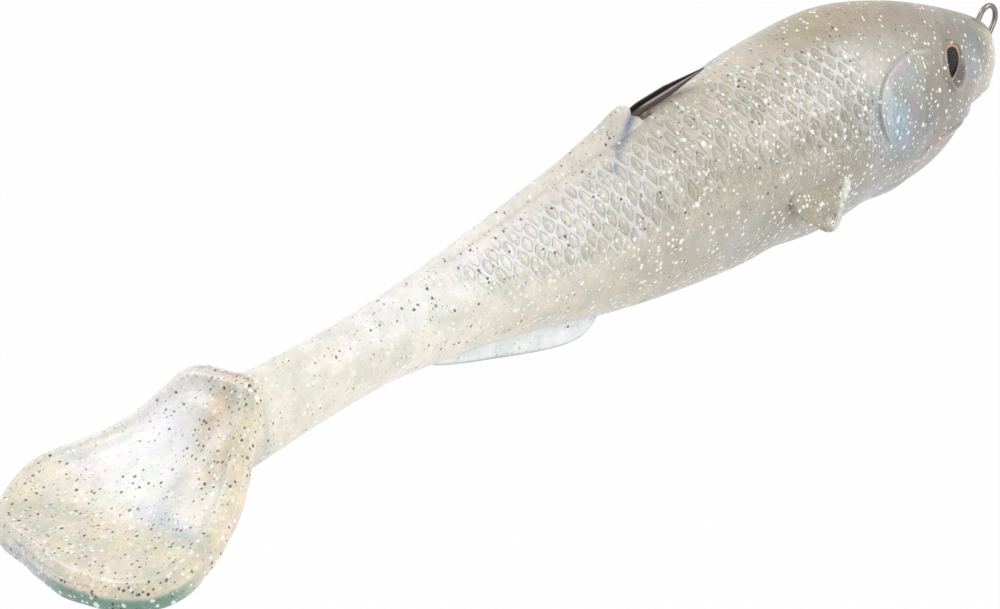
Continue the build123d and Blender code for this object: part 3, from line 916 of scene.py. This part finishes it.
def skin_tint(mesh, at):
    """The skin's colour at each vertex, from its place before and after the relief."""
    x, y, z = at.T
    t = level(x, z)
    rows = sorted(TINTS, key=lambda row: row[0])
    places = [row[0] for row in rows]
    bands = []
    for band in (1, 2, 3, 4):
        shades = np.array([row[band] for row in rows])
        bands.append(np.stack([np.interp(x, places, channel) for channel in shades.T], axis=1))
    tint = bands[3]
    for band, low, high in BAND_EDGES:
        lay_over(tint, bands[band], step(low, high, t))
    for (along, up), radius, shade, strength in STROKES:
        lay_over(tint, shade, strength * np.exp(-((x - along) ** 2 + (z - up) ** 2) / radius**2))
    shaped = coordinates(mesh)
    side_view = (x, z)
    from_middle = (shaped[:, 0], np.abs(shaped[:, 1]), shaped[:, 2])
    for line, place, width, shade, strength, fades in (
        (HOOK_STREAK, from_middle, 0.75, (0.08, 0.14, 0.28), 0.95, 0.6),
        # painted shade down the slit below the slot
        (SLOT_SHADE_LINE, from_middle, 0.35, (0.10, 0.07, 0.06), 0.8, 0.7),
        # a painted shadow along the gill cover's edge, and a painted highlight just inside it
        (gill_line, side_view, 0.15, (0.16, 0.15, 0.14), 0.45, 0.8),
        (gill_line + (0.40, 0.0), side_view, 0.20, (0.90, 0.94, 0.98), 0.45, 1.0),
        # painted shade in the mouth's slit
        (mouth_line, side_view, 0.34, (0.12, 0.09, 0.08), 0.75, 0.8),
    ):
        reach, along = gap_to(line, *place)
        lay_over(tint, shade, strength * bell(reach, 0, width) * (1 - fades * along))
    # painted shade along the foot of the dorsal ridge
    along_ridge = step(-135, -130, x) * step(-93, -96, x) * (z > heights(x)[0] - 3)
    ridge_foot_shade = bell(np.abs(y), ridge_half(x) * 1.2, 0.3) * along_ridge
    lay_over(tint, (0.50, 0.45, 0.38), 0.22 * ridge_foot_shade)
    return tint


def paint_skin(mesh, at):
    """Stores the skin's tint, its flakes, its scales with their net, its crinkles and its pearl."""
    x, y, z = at.T
    t = level(x, z)
    patch = scaled_patch(x, z)
    # the tint's alpha is the share of dark flakes there, and glitter that of bright ones
    upper = step(0.45, 0.9, t)
    black = 1.0 + 1.8 * upper * (1 + 0.8 * step(-65, -45, x)) + 0.9 * step(-118, -140, x)
    dull_back = step(0.50, 0.85, t) * (1 - 0.8 * bell(x, -78, 9))
    glitter = 1.0 - 0.60 * dull_back - 0.15 * step(-112, -130, x) + 0.5 * patch * step(-95, -85, x)
    net = patch * np.clip(0.18 + 0.55 * bell(x, -53, 10) + 0.82 * step(-88, -100, x), 0, 1)
    # crinkles lie on the flank, most of all along the lower edge of the scales and behind the gills
    flank = (1 - 0.8 * patch) * step(0.80, 0.45, t) * step(-128, -105, x) * step(-34, -44, x)
    flank *= step(0.4, 1.6, gap_to(gill_line, x, z)[0])
    under_scales = bell(z, read_off(SCALES_LOW, x), 3.4) * (0.35 + 0.65 * step(-78, -60, x))
    behind_gills = bell(x, -46, 4) * step(0.8, 0.4, t) * step(-0.5, 0.0, t) * ~inside(gill_line, x, z)
    rough = 0.03 + 0.35 * behind_gills + flank * (0.05 + 0.90 * under_scales)
    pearly = bell(x, -39, 7) * step(0.75, 0.4, t) + 0.6 * bell(x, -15, 7)
    write(mesh, tint=np.column_stack([skin_tint(mesh, at), black]), scaled=patch, net=net, rough=rough,
          glitter=glitter, pearly=pearly)
    rows = scale_rows(x, z).T
    corners = np.empty(len(mesh.loops), int)
    mesh.loops.foreach_get("vertex_index", corners)
    mesh.uv_layers.new(name="scale_rows").data.foreach_set("uv", rows[corners].ravel())


paint_skin(skin.data, rest_places)
skin.data.materials.append(vinyl("scaled_vinyl", scaled=True))


def keep_part(piece, wanted):
    """Keeps the faces whose middle's x is wanted, and closes the cut."""
    shape = bmesh.new()
    shape.from_mesh(piece.data)
    lost = [face for face in shape.faces if not wanted(face.calc_center_median().x / mm)]
    bmesh.ops.delete(shape, geom=lost, context="FACES")
    rim = [edge for edge in shape.edges if edge.is_boundary]
    for face in bmesh.ops.holes_fill(shape, edges=rim)["faces"]:
        face.smooth = False
    for edge in rim:
        edge.smooth = False
    shape.to_mesh(piece.data)
    shape.free()


# The end of the neck: the last of the same pour, behind the paddle's front edge. It is a piece of its
# own, cut from the skin.
neck_front = -170.0
neck = bpy.data.objects.new("neck_skin", skin.data.copy())
bpy.context.collection.objects.link(neck)
keep_part(neck, lambda x: x <= neck_front)
keep_part(skin, lambda x: x > neck_front)
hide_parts("tail_neck")
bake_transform(neck)
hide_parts("trunk", "body_bend", "tail_stock", "dorsal_fin")
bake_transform(skin)

# The paddle: a fan-shaped slab of the same vinyl, dished on its rear face, which leans back from
# the neck and kicks the water from side to side.
paddle_top = Vector((-173.0, 0, -5.8))
paddle_slope = math.radians(29)
paddle_length, paddle_width = 38.2, 37.5
paddle_cup, paddle_thickness = 3.6, 4.0
paddle_rim = 0.8
down_paddle = Vector((-math.cos(paddle_slope), 0, -math.sin(paddle_slope)))
off_paddle = Vector((-math.sin(paddle_slope), 0, math.cos(paddle_slope)))
cup_radius = (paddle_length**2 / 4 + paddle_cup**2) / (2 * paddle_cup)
cup_middle = paddle_top + down_paddle * paddle_length / 2 + off_paddle * (cup_radius - paddle_cup)
# how far down the paddle, as a share of its length, and how wide it is there, as a share of its width
PADDLE_SIDE = [(0.0, 0.0), (0.02, 0.27), (0.10, 0.44), (0.27, 0.60), (0.45, 0.80), (0.61, 0.99),
               (0.74, 1.01), (0.87, 0.90), (0.96, 0.60), (1.0, 0.0)]

last_point, side_steps = len(PADDLE_SIDE) - 1, 26
outline = [(index, along * paddle_length, share * paddle_width / 2)
           for index, (along, share) in enumerate(PADDLE_SIDE)]
first_turn, last_turn = outline[1], outline[last_point - 1]
outline.insert(0, (-1, first_turn[1], -first_turn[2]))
outline.append((last_point + 1, last_turn[1], -last_turn[2]))
right_side = [between(outline, last_point * number / side_steps) for number in range(side_steps + 1)]
around = right_side + [(along, -across) for along, across in right_side[-2:0:-1]]
side_line = np.array(right_side)
fan_cage = bmesh.new()
bmesh.ops.create_grid(fan_cage, x_segments=12, y_segments=20, size=0.5)
for vert in fan_cage.verts:
    along = (1 - math.cos(math.pi * (vert.co.y + 0.5))) / 2 * paddle_length
    across = np.interp(along, side_line[:, 0], side_line[:, 1])
    vert.co = (along, 2 * vert.co.x * across, -paddle_thickness / 2)
bmesh.ops.remove_doubles(fan_cage, verts=fan_cage.verts, dist=0.01)
grown = bmesh.ops.extrude_face_region(fan_cage, geom=list(fan_cage.faces), use_keep_orig=True)["geom"]
bmesh.ops.translate(fan_cage, verts=verts_of(grown), vec=(0, 0, paddle_thickness))
borders = [edge for edge in fan_cage.edges if edge.calc_face_angle(0) > 1.0]
bmesh.ops.bevel(fan_cage, geom=borders, offset=paddle_rim, segments=3, profile=0.5, affect="EDGES",
                material=-1)
bmesh.ops.recalc_face_normals(fan_cage, faces=fan_cage.faces)
for vert in fan_cage.verts:
    vert.co *= mm
paddle = subdivided("paddle", fan_cage, 3)


def shape_paddle(mesh):
    """Dishes the slab's rear face, thins its border from below and bends it round its cup."""
    along, across, slab = coordinates(mesh).T
    share = along / paddle_length
    reach, _ = gap_to(np.array(around + around[:1]), along, across)

    # a crest stands inside the rim, with a valley beside it in the upper half
    valley = 0.45 * bell(reach, 3.6, 1.7) * step(0.75, 0.35, share)
    crest = 0.22 * bell(reach, 2.0, 0.5)
    dish = 1.5 * step(1.8, 13, reach) + 0.8 * step(1.7, 0.1, reach)
    rear = paddle_thickness / 2 + crest - valley - dish
    front = -paddle_thickness / 2 + (1.0 - 0.9 * step(0.45, 0.75, share)) * step(7, 0.3, reach)
    droop = 1.1 * bell(share, 0.40, 0.16) * step(9, 0, reach)
    high = front + (rear - front) * (slab / paddle_thickness + 0.5) - droop

    # the fan is uneven: one lobe is fuller, and its corners are cut back differently
    across = across - 0.7 * bell(share, 0.25, 0.2) + 0.6 * step(0.42, 0.58, share)
    lobe = 1.8 * bell(share, 0.46, 0.17) - 0.9 * bell(share, 0.85, 0.12)
    corner = 0.5 * bell(share, 0.05, 0.07)
    along = along - 1.4 * bell(across, -5.0, 3) * step(0.15, 0.0, share)
    along -= 1.1 * bell(across, 6, 7) * step(0.75, 1.0, share)
    across = across + lobe * step(2, 8, across) - corner * step(0, -3, across)
    across += 0.6 * step(-2, -9, across) * bell(share, 0.66, 0.08)

    angle = np.arcsin((along - paddle_length / 2) / cup_radius)
    radius = (cup_radius - high)[:, None]
    place = np.array(cup_middle) + radius * (
        np.outer(np.sin(angle), down_paddle) - np.outer(np.cos(angle), off_paddle))
    place[:, 1] += across
    mesh.vertices.foreach_set("co", (place * mm).ravel())
    mesh.update()
    return along, across, reach, slab


# Spots of tint on the rear face: how far down and across, their reach in both, the colour and how
# strong it is
PADDLE_STROKES = [
    # a painted bluish-white highlight in the middle of the rear face
    ((13.5, 4.0), (9.0, 8.5), (0.97, 0.98, 1.00), 1.00),
    ((18.0, 15.0), (4.0, 5.0), (0.97, 0.91, 0.80), 0.80),
    # painted shade in the brown valley inside the right rim
    ((5.0, -3.4), (5.5, 2.2), (0.68, 0.51, 0.31), 0.85),
    ((11.0, -8.0), (5.5, 2.2), (0.76, 0.61, 0.42), 0.85),
    ((1.5, -6.0), (2.5, 3.0), (0.62, 0.58, 0.50), 0.60),
    ((1.2, 2.0), (2.0, 3.0), (0.76, 0.68, 0.62), 0.60),
    ((19.9, 12.7), (1.4, 4.0), (0.56, 0.62, 0.68), 0.60),
    ((22.1, -5.2), (1.2, 4.6), (0.55, 0.66, 0.80), 0.70),
    ((23.4, -12.0), (1.2, 4.0), (0.50, 0.55, 0.54), 0.70),
    ((33.0, 9.0), (2.0, 5.0), (0.55, 0.58, 0.52), 0.40),
]
along, across, reach, slab = shape_paddle(paddle.data)
rear_side = step(-0.3, 1.2, slab)
shades = np.tile((0.80, 0.78, 0.72), (len(along), 1))
beige = step(19.5, 25.0, along + 0.12 * across)
lay_over(shades, (0.76, 0.70, 0.56), beige * step(-0.5, 3.0, reach))
lay_over(shades, (0.80, 0.72, 0.56), step(2.2, 1.2, reach) * step(2, -6, across))
for (down_at, side_at), (down_reach, side_reach), shade, strength in PADDLE_STROKES:
    spot = bell(along, down_at, down_reach) * bell(across, side_at, side_reach)
    lay_over(shades, shade, strength * spot * rear_side)
# painted greenish shade and reflection along the underside of the lower edge
teal_shade_edge = step(4.0, 1.0, reach) * step(0.62, 0.84, along / paddle_length) * step(1.7, 0.5, slab)
lay_over(shades, (0.20, 0.36, 0.29) + np.outer(step(-5, 5, across), (0.36, 0.24, 0.35)), teal_shade_edge)
# dark flakes crowd near the top's left side and in the beige half, and are few in the bright middle
blackness = 4.5 + 8.0 * step(18, 4, along) * step(6, -4, across) + 2.0 * beige
blackness -= 2.5 * bell(along, 13, 6) * bell(across, 6, 5)
write(paddle.data, tint=np.column_stack([shades, blackness]), glitter=np.full(len(along), 1.25),
      pearly=np.full(len(along), 0.15))
paddle.data.materials.append(vinyl("paddle_vinyl"))
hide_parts("tail_paddle")
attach(paddle, "paddle")

# The anal fin: a thin blade on the mid-plane, moulded with the belly. It is so thin that the light
# comes through, and its edge looks dark.
anal_root_half, anal_edge_half = 0.9, 0.35
# x, the edge's height and the root's height
ANAL_SIDE = [(-98.0, -21.5, -19.0), (-99.6, -23.9, -19.0), (-101.5, -25.0, -19.0), (-104.5, -25.3, -19.0),
             (-109.0, -24.8, -18.8), (-115.0, -23.6, -17.5), (-122.0, -21.9, -16.5), (-130.5, -20.0, -15.5),
             (-136.5, -17.8, -15.0)]


def blade(name, rows, root_half, edge_half, steps):
    """A fin on the mid-plane from rows of x, its edge's height and its root's height."""
    cage = bmesh.new()
    bmesh.ops.create_grid(cage, x_segments=len(rows) - 1, y_segments=steps, size=0.5)
    halves = cage.verts.layers.float.new("half")
    for vert in cage.verts:
        x, edge, root = rows[round((vert.co.x + 0.5) * (len(rows) - 1))]
        share = vert.co.y + 0.5
        vert[halves] = root_half + (edge_half - root_half) * share
        vert.co = (x, 0, root + (edge - root) * share)
    grown = bmesh.ops.extrude_face_region(cage, geom=list(cage.faces), use_keep_orig=True)["geom"]
    left_side = set(verts_of(grown))
    for vert in cage.verts:
        vert.co.y = vert[halves] * (1 if vert in left_side else -1)
        vert.co *= mm
    bmesh.ops.recalc_face_normals(cage, faces=cage.faces)
    return subdivided(name, cage, 2)


anal_fin = blade("anal_fin_blade", ANAL_SIDE, anal_root_half, anal_edge_half, 3)
at = coordinates(anal_fin.data)
shades = np.tile((0.84, 0.88, 0.87), (len(at), 1))
drop = read_off([row[:2] for row in ANAL_SIDE[::-1]], at[:, 0]) - at[:, 2]
for share, shade in (
    (bell(drop, -0.02, 0.42), (0.16, 0.19, 0.16)),
    (0.8 * step(-100.6, -98.6, at[:, 0]), (0.25, 0.42, 0.34)),
    # a painted highlight in the middle of the blade
    (0.9 * bell(at[:, 0], -108, 3.0) * bell(drop, -2.2, 0.9), (1.0, 1.0, 1.0)),
):
    lay_over(shades, shade, share)
write(anal_fin.data, tint=np.column_stack([shades, np.full(len(at), 1.2)]),
      glitter=np.full(len(at), 0.8), pearly=np.full(len(at), 0.1))
anal_fin.data.materials.append(vinyl("fin_vinyl"))
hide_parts("anal_fin")
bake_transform(anal_fin)

# The pectoral fins: a soft tab on each side under the gill cover, moulded with the flank at its
# root, which is thin enough to flap.
pectoral_lean = math.radians(16)
pectoral_root = (-54.5, 13.06, -10.5)
pectoral_half, pectoral_rim = 0.65, 0.5
# along the root from its front end, then how far down
PECTORAL_OUTLINE = [(-0.5, -0.6), (0.6, 0.7), (1.8, 1.8), (3.0, 2.8), (3.8, 4.0), (5.0, 5.3), (6.6, 5.75),
                    (8.2, 5.2), (9.6, 4.2), (11.2, 3.3), (12.8, 2.0), (13.9, 0.4), (14.4, -1.2)]
PECTORAL_ROOT_LINE = [(14.0, -2.8), (10.0, -3.4), (5.0, -3.0), (1.0, -2.4)]
edge_rows = [(index, *point) for index, point in enumerate(PECTORAL_OUTLINE)]
lower = [between(edge_rows, number / 3) for number in range(3 * len(PECTORAL_OUTLINE) - 2)]
for side, place in ((-1, "right"), (1, "left")):
    down = Vector((0, side * math.sin(pectoral_lean), -math.cos(pectoral_lean)))
    outwards = Vector((0, side * math.cos(pectoral_lean), math.sin(pectoral_lean)))
    root = Vector((pectoral_root[0], side * pectoral_root[1], pectoral_root[2]))
    tab = bmesh.new()
    face = tab.faces.new([tab.verts.new((along, drop, -pectoral_half))
                          for along, drop in lower + PECTORAL_ROOT_LINE])
    grown = bmesh.ops.extrude_face_region(tab, geom=[face], use_keep_orig=True)["geom"]
    bmesh.ops.translate(tab, verts=verts_of(grown), vec=(0, 0, 2 * pectoral_half))
    bmesh.ops.recalc_face_normals(tab, faces=tab.faces)
    borders = [edge for edge in tab.edges
               if edge.calc_face_angle(0) > 1.2 and abs(edge.verts[0].co.z - edge.verts[1].co.z) < 0.1]
    bmesh.ops.bevel(tab, geom=borders, offset=pectoral_rim, segments=2, profile=0.5, affect="EDGES",
                    material=-1)
    for way in (1, -1):
        face = max(tab.faces, key=lambda face: face.calc_center_median().z * way + face.calc_area())
        bmesh.ops.inset_region(tab, faces=[face], thickness=0.8, depth=0)
    for vert in tab.verts:
        along, drop, thick = vert.co
        stand = 0.45 + 0.5 * min(max((drop + 1) / 4, 0), 1)
        vert.co = (root + Vector((-along, 0, 0)) + down * drop + outwards * (thick + stand)) * mm
    bmesh.ops.recalc_face_normals(tab, faces=tab.faces)
    pectoral = subdivided(f"pectoral_tab_{place}", tab, 3)
    at = coordinates(pectoral.data)
    along, drop = root.x - at[:, 0], (at - np.array(root)) @ np.array(down)
    shades = np.tile((0.36, 0.33, 0.24), (len(at), 1))
    middle = np.hypot(along - 7.2, drop - 4.0)
    for share, shade in (
        (0.5 * bell(middle, 1.6, 0.35), (0.24, 0.22, 0.17)),
        (0.6 * bell(middle, 0, 0.8), (0.70, 0.68, 0.62)),
        (0.7 * step(3.2, 2.0, along - 0.8 * drop), (0.74, 0.74, 0.69)),
    ):
        lay_over(shades, shade, share)
    write(pectoral.data, tint=np.column_stack([shades, np.full(len(at), 1.5)]),
          glitter=np.full(len(at), 0.9), rough=np.full(len(at), 0.35))
    pectoral.data.materials.append(bpy.data.materials["fin_vinyl"])
    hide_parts(f"pectoral_fin_{place}", f"pectoral_web_{place}")
    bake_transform(pectoral)

# The hook, the line tie's wire and the ballast inside: a black-nickel hook and a stainless wire,
# both cast into the lead before the fish is poured over them. They are the frame's own solids, given
# their finishes.


def metal(name, colour, roughness, wander, top=1.0):
    """A metal whose brightness wanders a little, and drops to the share top where it faces up, as a painted
    dark reflection.
    """
    material = bpy.data.materials.new(name)
    material.use_nodes = True
    tree = material.node_tree
    shader = tree.nodes["Principled BSDF"]
    shader.inputs["Metallic"].default_value = 1
    grain = noise(tree, tree.nodes.new("ShaderNodeTexCoord").outputs["Object"], Scale=900, Detail=4)["Fac"]
    facing = tree.nodes.new("ShaderNodeSeparateXYZ")
    tree.links.new(tree.nodes.new("ShaderNodeNewGeometry").outputs["Normal"], facing.inputs[0])
    tone = mix_node(tree, grain, colour, tuple(part * wander for part in colour))
    faces_up = step_node(tree, facing.outputs["Z"], 0.62, 0.80)
    topped = mix_node(tree, faces_up, tone, tuple(part * top for part in colour))
    tree.links.new(topped, shader.inputs["Base Color"])
    tree.links.new(math_node(tree, "MULTIPLY_ADD", grain, 0.12, roughness - 0.06), shader.inputs["Roughness"])
    return material


for node, material in (
    ("harness_wire", metal("stainless_wire", (0.29, 0.26, 0.24), 0.20, 0.70)),
    # the hook's upper side is painted near black, a painted dark reflection
    ("hook", metal("black_nickel", (0.115, 0.09, 0.085), 0.20, 0.85, 0.12)),
    ("ballast_weight", metal("cast_lead", (0.33, 0.33, 0.35), 0.55, 0.80)),
):
    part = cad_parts[node]
    part.data.materials.clear()
    part.data.materials.append(material)

# The eyes: a domed foil disc in each socket, printed with a copper ring, a black pupil on it, and a
# dome of clear resin over both.
foil_radius, pupil_radius, copper_radius, lens_radius = 3.50, 2.70, 3.08, 3.25
foil_back, pupil_half, lens_gap = -0.95, 0.04, 0.07
disc_rise = 0.3           # how far the discs sit above the socket's middle


def plain(name, colour, roughness, metallic=0.0):
    """A material of one colour."""
    material = bpy.data.materials.new(name)
    material.use_nodes = True
    shader = material.node_tree.nodes["Principled BSDF"]
    shader.inputs["Base Color"].default_value = (*colour, 1)
    shader.inputs["Roughness"].default_value = roughness
    shader.inputs["Metallic"].default_value = metallic
    return material


silver_foil = plain("silver_foil", (0.80, 0.84, 0.90), 0.30, 0.3)
copper_print = plain("copper_print", (0.62, 0.27, 0.10), 0.30, 0.5)
pupil_black = plain("pupil_black", (0.006, 0.004, 0.003), 0.5)
pupil_black.node_tree.nodes["Principled BSDF"].inputs["Specular IOR Level"].default_value = 0.15
clear_resin = plain("clear_resin", (1.0, 1.0, 1.0), 0.03)
resin = clear_resin.node_tree.nodes["Principled BSDF"]
resin.inputs["IOR"].default_value = 1.0
resin.inputs["Coat Weight"].default_value = 0.5
resin.inputs["Coat Roughness"].default_value = 0.03
resin.inputs["Transmission Weight"].default_value = 1
resin.inputs["Alpha"].default_value = 0.15


def foil_height(radius):
    """The foil's height on the eye's axis, from the flank."""
    return -0.62 + 0.30 * (1 - (radius / foil_radius) ** 2)


def dome_height(radius):
    """The resin dome's height on the eye's axis, from the flank."""
    return -0.50 + 0.55 * (1 - (radius / lens_radius) ** 2)


def turned(name, profile, side):
    """A piece turned on the eye's axis, from its profile of radii and heights."""
    lathe = bmesh.new()
    verts = [lathe.verts.new((radius, 0, height)) for radius, height in profile]
    edges = [lathe.edges.new(pair) for pair in zip(verts, verts[1:])]
    bmesh.ops.spin(lathe, geom=verts + edges, cent=(0, 0, 0), axis=(0, 0, 1), angle=2 * math.pi, steps=64,
                   use_merge=True)
    bmesh.ops.remove_doubles(lathe, verts=lathe.verts, dist=0.001)
    for face in lathe.faces:
        face.smooth = True
        middle = face.calc_center_median()
        face.material_index = int(pupil_radius < math.hypot(middle.x, middle.y) < copper_radius)
    up, out = Vector(eye_up[side]), Vector(eye_out[side])
    for vert in lathe.verts:
        x, y, z = vert.co
        vert.co = (Vector(eye_spot[side]) + up.cross(out) * x + up * (y + disc_rise) + out * z) * mm
    bmesh.ops.recalc_face_normals(lathe, faces=lathe.faces)
    piece = bpy.data.objects.new(name, bpy.data.meshes.new(name))
    bpy.context.collection.objects.link(piece)
    lathe.to_mesh(piece.data)
    lathe.free()
    return piece


disc_radii = [0.0, 0.8, 1.6, pupil_radius, copper_radius, foil_radius]
pupil_radii = disc_radii[:4]
dome_radii = [lens_radius * math.sin(math.radians(angle)) for angle in range(0, 91, 10)]
foil_profile = [(radius, foil_height(radius)) for radius in disc_radii]
foil_profile += [(foil_radius, foil_back), (0.0, foil_back)]
pupil_profile = [(radius, foil_height(radius) + pupil_half) for radius in pupil_radii]
pupil_profile += [(radius, foil_height(radius) - pupil_half) for radius in (pupil_radius, 0.0)]
dome_profile = [(radius, dome_height(radius)) for radius in dome_radii]
dome_profile += [(radius, foil_height(radius) + lens_gap) for radius in dome_radii[::-1]]
for side, place in ((-1, "right"), (1, "left")):
    for name, slot, profile, materials in (
        ("foil_disc", "eye_foil", foil_profile, (silver_foil, copper_print)),
        ("pupil_disc", "eye_pupil", pupil_profile, (pupil_black,)),
        ("lens_dome", "eye_lens", dome_profile, (clear_resin,)),
    ):
        piece = turned(f"{name}_{place}", profile, side)
        for material in materials:
            piece.data.materials.append(material)
        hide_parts(f"{slot}_{place}")
        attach(piece, "trunk")
